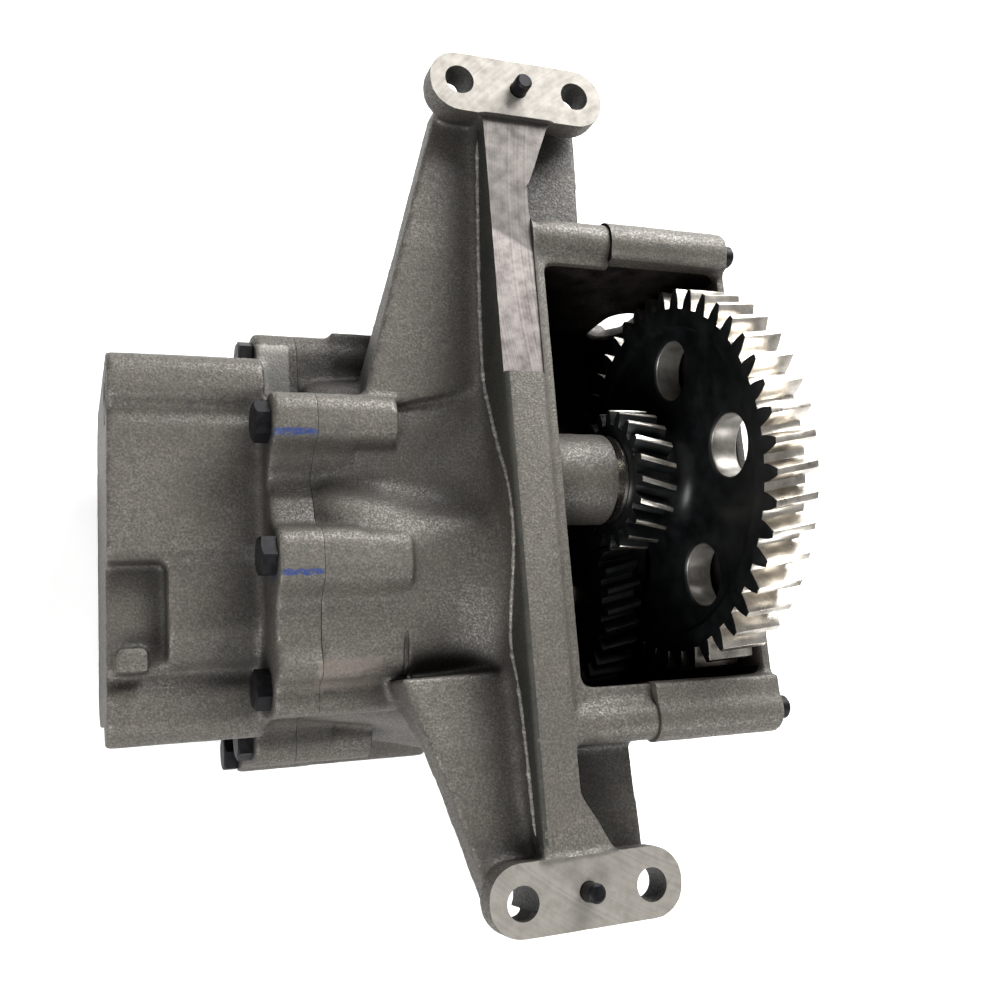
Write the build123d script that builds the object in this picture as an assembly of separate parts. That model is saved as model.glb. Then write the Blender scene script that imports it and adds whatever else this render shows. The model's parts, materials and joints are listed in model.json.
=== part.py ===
from build123d import *
from math import atan2, cos, degrees, hypot, pi, radians, sin, sqrt, tan
import os

os.makedirs("parts", exist_ok=True)

# Engine oil pump: a cast bracket that bolts up with two feet, a gear box with its cover,
# and a gear pump on the other side. Millimetres. X runs along the gear axes from the pump to
# the gear box, Y from foot to foot, Z out of the two foot faces, which lie at Z = 0.

# Feet
foot_half_pitch = 136.35    # hole row to the middle, along Y
foot_hole_half = 22.0       # hole to the middle of its foot, along X
foot_hole_r = 5.25
foot_len, foot_wide = 66.0, 22.0
foot_mid_y = 135.6
foot_thick = 11.5
foot_edge_r = 4.0                          # rounding of the pads' lower edge
foot_pin_r, foot_pin_seat_r, foot_pin_up, foot_pin_in = 3.0, 3.2, 6.3, 9.0

# Bracket plate and gear box
plate_x0, strip_x1, box_in_x = -14.0, 0.5, 5.0
joint_x, cover_x1, cover_wall = 30.0, 78.5, 4.0
box_top, box_bottom = 87.0, -92.0
box_in_top, box_in_bottom = 72.0, -74.0
cover_in_top, cover_in_bottom = 73.7, -73.4
box_back, back_wall = -115.0, 5.5
rim_z, strip_z = -2.0, -1.0
arm_r = 8.0
mouth_r = 4.0                              # corners of the gear box's open side
gusset_thick, gusset_root = 12.0, 24.0      # depth of the slanted webs, and at their roots
wing_x1, wing_foot_x1, wing_z0, wing_z1 = 27.0, 29.0, -28.0, -15.5
window_x, window_wide, window_z0, window_z1 = 64.5, 16.5, -78.0, -47.5
stud_r, stud_x0, stud_x1 = 4.0, 12.0, 84.0
stud_top_y, stud_bottom_y, stud_near_z, stud_far_z = 81.7, -85.3, -5.0, -102.0
cover_pins, cover_pin_r = [(stud_top_y - 1, -30.0), (stud_bottom_y + 3, -58.0)], 3.0
stud_spots = [(y, z) for y in (stud_top_y, stud_bottom_y) for z in (stud_near_z, stud_far_z)]

# Gears: the wheel and the pinion turn on the fixed axle A, the pinion drives shaft B
axis_a = (0.0, -25.6)                      # (y, z)
wheel_teeth, wheel_m, wheel_helix = 44, 3.0, 10.0
wheel_x0, wheel_x1 = 57.0, 73.0
pinion_teeth, shaft_teeth, train_m, train_helix = 20, 30, 2.25, 13.0
train_x0, train_x1 = 34.35, 48.0
train_mt = train_m / cos(radians(train_helix))
train_gap = train_mt * (pinion_teeth + shaft_teeth) / 2
shaft_y = -36.0
axis_b = (shaft_y, axis_a[1] - sqrt(train_gap ** 2 - (shaft_y - axis_a[0]) ** 2))
slack = 0.16                               # thinning of each tooth for backlash

# Pump rotors on shafts B and C
rotor_teeth, rotor_m, rotor_pressure, rotor_tilt = 11, 3.0, 27.0, -15.0
rotor_gap = rotor_teeth * rotor_m
axis_c = (axis_b[0] + rotor_gap * cos(radians(rotor_tilt)), axis_b[1] + rotor_gap * sin(radians(rotor_tilt)))
mesh_y, mesh_z = (axis_b[0] + axis_c[0]) / 2, (axis_b[1] + axis_c[1]) / 2
rotor_tip = rotor_m * (rotor_teeth + 2) / 2
tip_clear, end_clear = 0.06, 0.05
rotor_len = 40.0
face_x = -73.0                             # joint between frame and pump body
flange_back_x = -60.0
flange_x = -87.5                           # outer face of the pump body's flange
body_x = -137.0                            # closed end of the pump body
chamber_x = face_x - rotor_len - 2 * end_clear
body_far, port_far = -127.0, -131.0
pocket_x1, pocket_y0, pocket_y1, pocket_z = -118.5, -57.5, -23.0, -54.0

# Shafts and bushes
shaft_r, run_clear, bush_r, bush_len = 10.0, 0.05, 12.5, 13.5
shaft_hole_r = 11.0
shaft_x0 = chamber_x - bush_len + 0.5       # the rotors' shafts stop just inside their bushes
seat_r, thread_r = 9.0, 8.0
boss_a_x, boss_b_x, boss_a_r, boss_b_r = 33.0, 32.0, 16.4, 16.0

# Wheel: recessed web with five holes, hub on the axle's bush
hub_r, hub_x1, hub_sink_r = 16.0, 65.9, 20.0
web_sink, rim_r = 2.3, 57.0
wheel_holes, wheel_hole_r, wheel_hole_ring, wheel_hole_turn = 5, 10.75, 40.7, 4.5
wheel_turn = 75.3                          # angle of one tooth gap, degrees from +Z towards +Y
mesh_angle = atan2(axis_b[0] - axis_a[0], axis_b[1] - axis_a[1])
mesh_bc = atan2(axis_c[0] - axis_b[0], axis_c[1] - axis_b[1])

# Key, washers and nuts of the wheel and of the pump shaft
key_x0, key_x1, key_wide, key_low, key_top = 36.0, 47.0, 5.0, 6.3, 11.3
nut_af = 24.0
washer_x, washer_thick, axle_nut_x1, axle_x0, axle_x1 = hub_x1 + 0.1, 1.8, 73.4, -10.0, 74.0
shaft_washer_thick, shaft_nut_thick, shaft_x1 = 1.5, 5.5, 56.0

# Flange bolts, M8 with a 12 mm head: (y, z)
bolt_r, bolt_hole_r, bolt_af, bolt_head, bolt_end = 4.0, 4.5, 12.0, 5.3, -52.0
bolt_pad_r, bolt_boss_r = 8.2, 9.5
lobe_end_x = -45.0                         # where the long bolt lobes of the near side stop
lug_y = -94.2                              # lower edge of the lowest lug, which runs on to the plate
bolts = [(49.5, -56.0), (19.0, -27.5), (-25.5, -25.5), (-66.5, -44.0), (-82.6, -85.0),
         (-87.0, -120.5), (-33.0, -118.0), (18.0, -118.0), (49.5, -98.0)]
boss_ends = {0: -45.0, 4: -45.0, 6: -48.0, 7: -48.0, 8: -48.0}    # round bosses of the other bolts
pin_spots, pin_r = [(-70.0, -66.0), (36.0, -84.0)], 4.0

# Relief valve beside the pump chamber
relief = (33.5, -50.0)
relief_bore, relief_r, relief_seat_x, relief_len, plug_r, plug_x = 8.05, 8.0, -98.0, 12.0, 10.0, -127.0
spring_r, spring_wire_r, spring_turns = 4.7, 0.6, 6
relief_stroke = 6.0

# Ports on the far side
inlet_x, inlet_y, inlet_r, inlet_half = -101.0, -8.0, 13.0, 23.0
inlet_floor_z, suction_r = -108.0, 8.0
outlet_x, outlet_y, outlet_r, outlet_half = -32.0, -8.0, 11.0, 21.0
port_bolt_r, port_bolt_deep, port_lip = 3.4, 15.0, 8.0


def rod(x0, x1, y, z, r):
    """Round bar along X."""
    return Pos((x0 + x1) / 2, y, z) * Rot(0, 90, 0) * Cylinder(r, x1 - x0)


def post(x, y, z0, z1, r):
    """Round bar along Z."""
    return Pos(x, y, (z0 + z1) / 2) * Cylinder(r, z1 - z0)


def block(x0, x1, y0, y1, z0, z1):
    return Pos((x0 + x1) / 2, (y0 + y1) / 2, (z0 + z1) / 2) * Box(x1 - x0, y1 - y0, z1 - z0)


def rounded(points):
    """Face inside a polygon whose corners (u, v, radius) are rounded."""
    edges, ends, n = [], [], len(points)
    for i, (u, v, r) in enumerate(points):
        au, av = points[i - 1][0] - u, points[i - 1][1] - v
        bu, bv = points[(i + 1) % n][0] - u, points[(i + 1) % n][1] - v
        la, lb = hypot(au, av), hypot(bu, bv)
        au, av, bu, bv = au / la, av / la, bu / lb, bv / lb
        half = atan2(abs(au * bv - av * bu), au * bu + av * bv) / 2
        if r <= 0 or abs(half - pi / 2) < 0.01:
            ends.append(((u, v), (u, v)))
            continue
        t = min(r / tan(half), 0.49 * la, 0.49 * lb)
        r = t * tan(half)
        mu, mv = au + bu, av + bv
        lm = hypot(mu, mv)
        mid = r / sin(half) - r
        p, q = (u + au * t, v + av * t), (u + bu * t, v + bv * t)
        edges.append(ThreePointArc(p, (u + mu / lm * mid, v + mv / lm * mid), q))
        ends.append((p, q))
    for i in range(n):
        a, b = ends[i - 1][1], ends[i][0]
        if hypot(a[0] - b[0], a[1] - b[1]) > 1e-4:
            edges.append(Line(a, b))
    return make_face(edges)


def across(points, x0, x1):
    """Solid between x0 and x1 with a rounded outline of (y, z, radius)."""
    return extrude(Plane.YZ.offset(x0) * rounded(points), amount=x1 - x0)


def upright(points, z0, z1):
    """Solid between z0 and z1 with a rounded outline of (x, y, radius)."""
    return extrude(Plane.XY.offset(z0) * rounded(points), amount=z1 - z0)


def turned(points, y, z):
    """Solid of revolution about the X line through (y, z); points are (x, radius)."""
    flat = make_face(Polyline(*[(x, r) for x, r in points], close=True))
    return Pos(0, y, z) * revolve(flat, Axis.X)


def drilled(start, end, r):
    """Round bar between two points."""
    a, b = Vector(*start), Vector(*end)
    return Plane(origin=(a + b) / 2, z_dir=(b - a)) * Cylinder(r, (b - a).length)


def hexagon(x0, x1, y, z, across_flats, turn=0.0):
    flat = Rot(0, 0, turn) * RegularPolygon(across_flats / 2, 6, major_radius=False)
    return extrude(Plane.YZ.offset(x0) * Pos(y, z) * flat, amount=x1 - x0)


def hex_head(x0, x1, y, z, across_flats, turn, outer_at_x0):
    """Hexagon with the corners of its outer face turned off."""
    r, h, c = across_flats * 0.577 + 0.02, x1 - x0, 0.12 * across_flats
    if outer_at_x0:
        cone = [(x0, 0), (x0, r - c), (x0 + c * 0.6, r), (x1, r), (x1, 0)]
    else:
        cone = [(x0, 0), (x0, r), (x1 - c * 0.6, r), (x1, r - c), (x1, 0)]
    return hexagon(x0, x1, y, z, across_flats, turn) & turned(cone, y, z)


def tooth_points(teeth, m, pressure, thin, tooth_at, steps):
    """Points (y, z) round a gear at its own centre; angles run from +Z towards +Y."""
    pitch = teeth * m / 2
    base = pitch * cos(pressure)
    tip, root = pitch + m, pitch - 1.25 * m
    low = max(base, root) * 1.0001
    half = pi / (2 * teeth) - thin / (2 * pitch) + tan(pressure) - pressure

    def half_at(r):
        k = base / r
        a = atan2(sqrt(1 - k * k), k)
        return half - (tan(a) - a)

    flank = [(low + (tip - low) * i / steps, None) for i in range(steps + 1)]
    flank = [(r, half_at(r)) for r, _ in flank]
    points = []
    for k in range(teeth):
        mid = tooth_at + 2 * pi * k / teeth
        if root < low - 0.05:
            points.append((root, mid - half_at(low) - 0.1 / root))
        points += [(r, mid - h) for r, h in flank]
        points += [(r, mid + h) for r, h in reversed(flank)]
        if root < low - 0.05:
            points.append((root, mid + half_at(low) + 0.1 / root))
    return [(r * sin(a), r * cos(a)) for r, a in points]


def facet(*corners):
    return Face(Wire.make_polygon(corners))


def toothed(points, x0, x1, y, z, twist=0.0, steps=1):
    """Toothed block: the outline at x0 joined by flat facets to the same outline turned by twist at x1."""
    rings = []
    for k in range(steps + 1):
        c, s, x = cos(twist * k / steps), sin(twist * k / steps), x0 + (x1 - x0) * k / steps
        rings.append([Vector(x, y + p * c + q * s, z - p * s + q * c) for p, q in points])
    faces = [facet(*rings[0]), facet(*rings[-1])]
    for near, far in zip(rings, rings[1:]):
        for i in range(len(points)):
            a, b, c, d = near[i - 1], near[i], far[i], far[i - 1]
            faces += [facet(a, b, c, d)] if twist == 0 else [facet(a, b, c), facet(a, c, d)]
    return Solid(Shell(faces))


def save(name, *solids):
    part = Compound(children=[s for solid in solids for s in solid.solids()])
    part.label = name
    export_step(part, f"parts/{name}.step")


# The outline that the pump body's flange and the frame share (y, z, radius)
flange_outline = [
    (59.0, -47.0, 9.0), (28.5, -47.0, 3.0), (28.5, -17.5, 8.0), (13.0, -18.5, 6.0), (9.0, -27.0, 5.0),
    (0.5, -36.5, 6.0), (-6.0, -31.5, 5.0), (-15.0, -29.5, 4.0), (-17.5, -18.0, 7.0), (-33.5, -17.5, 7.0),
    (-40.0, -26.0, 7.0), (-54.0, -28.5, 8.0), (-64.0, -26.0, 3.5), (-66.0, -34.0, 3.0), (-76.0, -35.0, 8.0),
    (-76.0, -74.0, 5.0), (-92.0, -75.5, 9.0), (-92.0, -108.0, 8.0),
    (lug_y, -113.0, 6.0), (lug_y, -130.0, 9.0), (-74.0, -130.0, 8.0), (-68.0, body_far, 6.0),
    (28.0, body_far, 9.0), (34.0, -108.0, 6.0), (59.0, -107.5, 9.0), (59.0, -89.0, 9.0), (50.0, -84.0, 5.0),
    (50.0, -70.0, 5.0), (59.0, -65.5, 9.0)]

# The pump body behind its flange
waist_outline = [
    (45.5, -35.0, 9.0), (29.5, -35.0, 5.0), (26.5, -40.5, 3.0), (21.0, -38.0, 4.0), (12.0, -40.0, 6.0),
    (-14.0, -42.0, 6.0), (-20.0, -42.5, 4.0), (-23.0, -46.0, 3.0), (-46.0, -46.0, 8.0), (-56.0, -52.0, 5.0),
    (-59.5, -56.5, 3.0), (-64.0, -53.5, 4.0), (-81.5, -56.0, 10.0), (-81.5, -70.0, 8.0), (-74.0, -78.0, 8.0),
    (-74.0, -116.0, 9.0), (-66.0, body_far + 3, 9.0), (34.0, body_far + 3, 9.0), (45.5, -112.0, 9.0)]

# The neck: each line lists one run of the casting as (y, z) at the four places in neck_x
neck_x = [face_x + 1, lobe_end_x, -20.0, plate_x0 + 0.6]
neck_runs = [
    [(46, -62), (47, -58), (56, -54), (62, -50)],
    [(40, -50), (40, -44), (46, -34), (53, -26)],
    [(25, -34), (26, -27), (29, -24), (32, -20.5)],
    [(12, -26), (12, -27), (14, -24), (16, -19)],
    [(1, -35.7), (0, -32), (0, -25), (0, -17.5)],
    [(-5.5, -31.6), (-6, -28.5), (-8, -23), (-8, -16)],
    [(-14, -29.2), (-14, -22.5), (-16, -17.5), (-18, -11.5)],
    [(-25, -28), (-25, -20), (-26, -15.5), (-27, -8)],
    [(-38, -29), (-38, -23.5), (-38, -16), (-38, -8.5)],
    [(-50, -31), (-50, -26.6), (-49, -19), (-48, -11.5)],
    [(-60, -32), (-60, -28), (-58, -23), (-58, -15.5)],
    [(-66, -39), (-67, -36), (-65, -28), (-65, -18)],
    [(-73, -50), (-76, -48), (-78, -40), (-80, -24)],
    [(-78, -90), (-82, -88), (-88, -84), (-90, -80)],
    [(-80, -114), (-84, -114), (-88, -114), (-90, -114)],
    [(-66, -125), (-68, -125), (-70, -126), (-72, -126)],
    [(-24, -126), (-24, -126), (-24, -127), (-24, -127)],
    [(20, -125), (24, -125), (26, -126), (30, -126)],
    [(40, -108), (45, -110), (52, -112), (55, -112)],
    [(48, -84), (52, -84), (58, -86), (62, -86)]]


def neck():
    """Smooth housing of the pump shaft, lofted from the flange to the plate."""
    rings = [Wire([Edge.make_spline([Vector(x, *run[k]) for run in neck_runs], periodic=True)])
             for k, x in enumerate(neck_x)]
    return Solid.make_loft(rings)


def bolt_lobes():
    """The long lobes of the near side round their bolts, and the lug below them."""
    upper = [(28.5, -45.0, 0), (28.5, -17.5, 8.0), (12.5, -18.5, 7.0), (9.5, -30.0, 3.0), (9.5, -45.0, 0)]
    lower = [(-16.5, -45.0, 0), (-17.5, -18.0, 7.0), (-33.5, -17.5, 7.0), (-40.0, -25.5, 7.0),
             (-54.0, -27.5, 6.0), (-63.0, -26.0, 4.0), (-66.0, -34.0, 3.0), (-66.0, -45.0, 0)]
    side = [(-60.0, -45.0, 0), (-66.0, -34.0, 2.0), (-76.0, -35.0, 8.0), (-76.0, -62.0, 0), (-60.0, -62.0, 0)]
    lug = [(-74.0, -113.0, 0), (lug_y, -113.0, 6.0), (lug_y, -130.0, 9.0), (-74.0, -130.0, 8.0)]
    return [across(upper, face_x + 1, lobe_end_x - 0.6), across(lower, face_x + 1, lobe_end_x + 1.5),
            across(side, face_x + 1, lobe_end_x), across(lug, face_x + 1, plate_x0 + 1)]


def foot(side):
    y, h, w = side * foot_mid_y, foot_len / 2, foot_wide / 2
    pad = upright([(-h, y - w, w), (h, y - w, w), (h, y + w, w), (-h, y + w, w)], -foot_thick, 0)
    return fillet(pad.faces().sort_by(Axis.Z)[0].edges(), foot_edge_r)


def gusset(side):
    """Slanted web from the pump neck out to one foot, and the short web beside the gear box."""
    if side > 0:
        near, edge = [(22, -22.7), (80, -16.0), (140, -11.0)], [(-57.5, 22), (-42.2, 79.2), (-24.0, 142.5)]
        root_y = 33
    else:
        near, edge = [(66, -17.7), (90, -13.5), (140, -10.5)], [(-50.4, 67), (-37.6, 105.2), (-26.5, 142.5)]
        root_y = 66
    deep = [gusset_root, gusset_thick, gusset_thick]
    side_line = [(side * a, b, 0) for a, b in near]
    side_line += [(side * a, b - d, 0) for (a, b), d in reversed(list(zip(near, deep)))]
    slab = across(side_line, -66, plate_x0 + 2)
    plan = [(a, side * b, 0) for a, b in edge] + [(plate_x0 + 2, side * v, 0) for v in (edge[2][1], root_y)]
    web = slab & upright(plan, -80, 0)
    inner = box_top - 2 if side > 0 else -box_bottom - 2
    wing = upright([(-2, side * inner, 0), (wing_x1, side * inner, 3), (wing_foot_x1, side * 133, 3),
                    (-2, side * 133, 0)], wing_z0, wing_z1)
    return web + wing


def spine():
    """Deep rib between the feet; its ground edge is the long strip of the near side."""
    far = [(128, -25, 6), (106, -38, 12), (92, box_back + 2, 14), (64, port_far, 10), (-64, port_far, 10),
           (-96, box_back + 2, 14), (-108, -38, 12), (-128, -25, 6)]
    rib = across([(-128, strip_z, 0), (128, strip_z, 0)] + far, plate_x0, strip_x1)
    flare_top = upright([(0, 97, 0), (4.5, 108, 30), (11.5, 126, 0), (0, 127, 0)], -14, strip_z)
    flare_bottom = upright([(0, -106, 0), (0, -127, 0), (12.5, -127, 0), (5, -113, 30)], -14, strip_z)
    return rib + flare_top + flare_bottom


def gear_box():
    """The frame's half of the gear box with the two bearing bosses on its wall."""
    shell = across([(box_bottom, rim_z, 2), (box_top, rim_z, 2), (box_top, box_back, 6),
                    (box_bottom, box_back, 6)],
                   plate_x0, joint_x)
    hollow = across([(box_in_bottom, 20, 0), (box_in_top, 20, 0), (box_in_top, box_back + back_wall, 6),
                     (box_in_bottom, box_back + back_wall, 6)], box_in_x, joint_x + 1)
    mouth = upright([(box_in_x, box_in_bottom, mouth_r), (box_in_x, box_in_top, mouth_r),
                     (joint_x + 1, box_in_top, 0),
                     (joint_x + 1, box_in_bottom, 0)], box_back, 21)
    parts = []
    for y, z in stud_spots:
        r = arm_r if z == stud_far_z else arm_r - 1
        parts.append(turned([(0, 0), (0, r - 3), (3, r - 1), (9, r), (joint_x, r), (joint_x, 0)], y, z))
    parts.append(turned([(0, 0), (0, boss_a_r + 3), (box_in_x, boss_a_r + 2.6),
                         (box_in_x + 2.5, boss_a_r + 0.6),
                         (box_in_x + 6, boss_a_r), (boss_a_x - 1, boss_a_r), (boss_a_x, boss_a_r - 1),
                         (boss_a_x, 0)],
                        *axis_a))
    parts.append(rod(0, boss_b_x, *axis_b, boss_b_r))
    tie = block(0, 22, -14, 14, -5, 5)
    parts.append(Pos(0, (axis_a[0] + axis_b[0]) / 2, (axis_a[1] + axis_b[1]) / 2) * Rot(
        degrees(atan2(axis_b[1] - axis_a[1], axis_b[0] - axis_a[0])), 0, 0) * tie)
    return shell - (hollow & mouth) + parts


def frame_casting():
    adds = [gear_box(), foot(1), foot(-1), gusset(1), gusset(-1), neck(), *bolt_lobes(),
            across(flange_outline, face_x, flange_back_x), block(-60, -44, 33, 59, -64, -47.5),
            port_pad(outlet_x, outlet_y, outlet_r, outlet_half)]
    adds += [rod(flange_back_x, x, *bolts[k], bolt_boss_r) for k, x in boss_ends.items()]
    cuts = [rod(axle_x0, boss_a_x + 1, *axis_a, shaft_r),
            rod(face_x - 1, boss_b_x + 1, *axis_b, shaft_hole_r),
            rod(face_x - 1, face_x + bush_len, *axis_b, bush_r),
            rod(face_x - 1, face_x + bush_len, *axis_c, bush_r),
            rod(boss_b_x - bush_len, boss_b_x + 1, *axis_b, bush_r)]
    for side in (1, -1):
        cuts += [post(x, side * foot_half_pitch, -60, 1, foot_hole_r)
                 for x in (-foot_hole_half, foot_hole_half)]
        cuts += [post(0, side * foot_mid_y, -foot_pin_in, 1, foot_pin_seat_r)]
    cuts += [rod(face_x - 1, bolt_end, y, z, bolt_r) for y, z in bolts]
    cuts += [rod(face_x - 1, face_x + 8, y, z, pin_r) for y, z in pin_spots]
    cuts += [rod(stud_x0, joint_x + 1, y, z, stud_r) for y, z in stud_spots]
    cuts += [rod(joint_x - 8, joint_x + 1, y, z, cover_pin_r) for y, z in cover_pins]
    cuts += [rod(face_x - 1, outlet_x, -15, -56, 9), post(outlet_x, outlet_y, port_far - 1, -50, outlet_r)]
    cuts += port_holes(outlet_x, outlet_y, outlet_half)
    return spine() + adds - cuts


def port_pad(x, y, r, half):
    """Oval flange face on the far side; its two bolt holes lie along Y."""
    e, w = half + port_lip, r + 6
    return upright([(x - w, y - e, port_lip + 2), (x + w, y - e, port_lip + 2), (x + w, y + e, port_lip + 2),
                    (x - w, y + e, port_lip + 2)], port_far, body_far + 12)


def port_holes(x, y, half):
    return [post(x, y + s * half, port_far - 1, port_far + port_bolt_deep, port_bolt_r) for s in (1, -1)]


def gear_cover():
    """Cup over the gears with four long arms for its studs."""
    outer = across([(cover_in_bottom - 5.5, rim_z, 2), (cover_in_top + 5.3, rim_z, 2),
                    (cover_in_top + 5.3, box_back, 6),
                    (cover_in_bottom - 5.5, box_back, 6)], joint_x, cover_x1)
    hollow = across([(cover_in_bottom, 20, 0), (cover_in_top, 20, 0), (cover_in_top, box_back + back_wall, 6),
                     (cover_in_bottom, box_back + back_wall, 6)], joint_x - 1, cover_x1 - cover_wall)
    adds = [rod(joint_x, cover_x1, y, z, arm_r) for y, z in stud_spots]
    adds += [block(joint_x, cover_x1, min(y, 74 if y > 0 else -74), max(y, 74 if y > 0 else -74),
                   z - arm_r, z + arm_r - 1.5) for y, z in stud_spots]
    adds += [rod(joint_x, joint_x + 12, y, z, 6.5) for y, z in cover_pins]
    half = window_wide / 2
    window = Rot(90, 0, 0) * extrude(rounded([
        (window_x - half, window_z0, half), (window_x + half, window_z0, half),
        (window_x + half, window_z1, half),
        (window_x - half, window_z1, half)]), amount=30)
    cuts = [hollow, Pos(0, cover_in_top + 15, 0) * window]
    cuts += [rod(joint_x - 1, cover_x1 + 1, y, z, stud_r) for y, z in stud_spots]
    cuts += [rod(joint_x - 1, joint_x + 8, y, z, cover_pin_r) for y, z in cover_pins]
    return outer + adds - cuts


def pump_body():
    adds = [across(waist_outline, body_x, flange_x + 1), port_pad(inlet_x, inlet_y, inlet_r, inlet_half)]
    pocket = upright([(body_x - 1, pocket_y0, 0), (pocket_x1, pocket_y0, 3), (pocket_x1, pocket_y1, 3),
                      (body_x - 1, pocket_y1, 0)], pocket_z, -30)
    lug = upright([(-134, pocket_y0 - 1, 0), (-124.5, pocket_y0 - 1, 0), (-124.5, pocket_y0 + 7, 2),
                   (-134, pocket_y0 + 7, 2)], pocket_z - 2, pocket_z + 7.5)
    cuts = [rod(flange_x - 9, flange_x, y, z, bolt_pad_r) for y, z in bolts]
    cuts += [rod(flange_x - 1, face_x + 1, y, z, bolt_hole_r) for y, z in bolts]
    for y, z in (axis_b, axis_c):
        cuts += [rod(chamber_x, face_x + 1, y, z, rotor_tip + tip_clear),
                 rod(chamber_x - bush_len, chamber_x + 1, y, z, bush_r)]
    cuts += [post(inlet_x, inlet_y, port_far - 1, inlet_floor_z, inlet_r),
             drilled((inlet_x, inlet_y, inlet_floor_z - 1), (inlet_x, mesh_y, mesh_z), suction_r)]
    cuts += port_holes(inlet_x, inlet_y, inlet_half)
    cuts += [rod(face_x - 8, face_x + 1, y, z, pin_r) for y, z in pin_spots]
    cuts += [rod(body_x - 1, plug_x, *relief, plug_r), rod(body_x, relief_seat_x, *relief, relief_bore),
             rod(relief_seat_x - 1, -92, *relief, 5), drilled((-95, *relief), (-95, 8, -70), 4)]
    return across(flange_outline, flange_x, face_x) + adds - pocket + lug - cuts


def flange_bolt(y, z, turn):
    shank = turned([(flange_x - 0.5, 0), (flange_x - 0.5, bolt_r), (bolt_end - 1, bolt_r),
                    (bolt_end, bolt_r - 1),
                    (bolt_end, 0)], y, z)
    return hex_head(flange_x - bolt_head, flange_x, y, z, bolt_af, turn, True) + shank


def cover_stud(y, z):
    bar = turned([(stud_x0, 0), (stud_x0, stud_r - 0.8), (stud_x0 + 0.8, stud_r), (stud_x1 - 1, stud_r),
                  (stud_x1, stud_r - 1), (stud_x1, 0)], y, z)
    return bar - hexagon(stud_x1 - 3, stud_x1 + 1, y, z, 4)


def foot_pin(side):
    """Dowel pressed into the foot, with a smaller end that stands out of it."""
    y = side * foot_mid_y
    tip = chamfer(post(0, y, 0, foot_pin_up, foot_pin_r).edges().sort_by(Axis.Z)[-1], 0.8)
    return tip + post(0, y, -foot_pin_in, 0, foot_pin_seat_r)


def helix_twist(helix, pitch_r, length, sign):
    return sign * tan(radians(helix)) / pitch_r * length


def transverse(helix):
    return atan2(tan(radians(20)), cos(radians(helix)))


def drive_wheel():
    """Large wheel with hub and the nose that carries the pinion."""
    m_t = wheel_m / cos(radians(wheel_helix))
    pitch = wheel_teeth * m_t / 2
    gap_at = radians(wheel_turn)
    flat = tooth_points(wheel_teeth, m_t, transverse(wheel_helix), slack, gap_at + pi / wheel_teeth, 3)
    wheel = toothed(flat, wheel_x0, wheel_x1, *axis_a,
                    helix_twist(wheel_helix, pitch, wheel_x1 - wheel_x0, 1))
    web_x0, web_x1 = wheel_x0 + web_sink, wheel_x1 - web_sink
    wheel -= turned([(wheel_x0 - 1, 15), (wheel_x0 - 1, rim_r + 1), (wheel_x0, rim_r),
                     (web_x0 - 0.8, rim_r - 0.6),
                     (web_x0, rim_r - 1.6), (web_x0, 15)], *axis_a)
    wheel -= turned([(wheel_x1 + 1, 22), (wheel_x1 + 1, rim_r + 1), (wheel_x1, rim_r),
                     (web_x1 + 0.8, rim_r - 0.6),
                     (web_x1, rim_r - 1.6), (web_x1, 27), (wheel_x1 - 1.5, 25),
                     (wheel_x1 - 1.5, 22)], *axis_a)
    arc = [(53.3 + 6 * sin(radians(a)), 23 - 6 * cos(radians(a))) for a in range(0, 91, 15)]
    hub = turned([(train_x0 + 0.3, 0), (train_x0 + 0.3, hub_r - 0.8), (train_x0 + 1.1, hub_r),
                  (train_x1, hub_r),
                  (train_x1, hub_r + 1)]
                 + arc + [(web_x0 + 2, 23.5), (web_x0 + 2, 0)], *axis_a)
    wheel += hub
    wheel -= rod(train_x0 - 5, wheel_x1 + 5, *axis_a, bush_r)
    wheel -= rod(hub_x1, wheel_x1 + 5, *axis_a, hub_sink_r)
    for k in range(wheel_holes):
        a, r = radians(wheel_hole_turn + 360 / wheel_holes * k), wheel_hole_r
        y, z = axis_a[0] + wheel_hole_ring * sin(a), axis_a[1] + wheel_hole_ring * cos(a)
        wheel -= turned([(web_x0 - 1, 0), (web_x0 - 1, r + 2), (web_x0 + 1, r), (web_x1 - 1, r),
                         (web_x1 + 1, r + 2), (web_x1 + 1, 0)], y, z)
    return wheel


def train_gear(teeth, tooth_at, y, z, bore, sign):
    pitch = teeth * train_mt / 2
    long = train_x1 - train_x0
    twist = helix_twist(train_helix, pitch, long, sign)
    flat = tooth_points(teeth, train_mt, transverse(train_helix), slack, tooth_at - twist / 2, 4)
    gear = toothed(flat, train_x0, train_x1, y, z, twist, 2)
    return gear - rod(train_x0 - 1, train_x1 + 1, y, z, bore)


def pinion():
    return train_gear(pinion_teeth, mesh_angle, *axis_a, hub_r, -1)


def shaft_gear():
    gear = train_gear(shaft_teeth, mesh_angle + pi + pi / shaft_teeth, *axis_b, seat_r, 1)
    y, z = axis_b
    gear -= turned([(train_x1 - 2, 14), (train_x1 - 2, 25), (train_x1 + 1, 27), (train_x1 + 1, 14)], y, z)
    return gear - block(train_x0 - 1, train_x1 + 1, y, y + key_top, z - key_wide / 2, z + key_wide / 2)


def drive_shaft():
    y, z = axis_b
    bar = turned([(shaft_x0, 0), (shaft_x0, shaft_r - 1), (shaft_x0 + 1, shaft_r), (train_x0, shaft_r),
                  (train_x0, seat_r),
                  (train_x1, seat_r), (train_x1, thread_r), (shaft_x1 - 1, thread_r),
                  (shaft_x1, thread_r - 1),
                  (shaft_x1, 0)], y, z)
    return bar - block(key_x0, key_x1, y + key_low, y + key_top + 1, z - key_wide / 2, z + key_wide / 2)


def shaft_key():
    y, z = axis_b
    return block(key_x0, key_x1, y + key_low, y + key_top, z - key_wide / 2, z + key_wide / 2)


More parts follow.
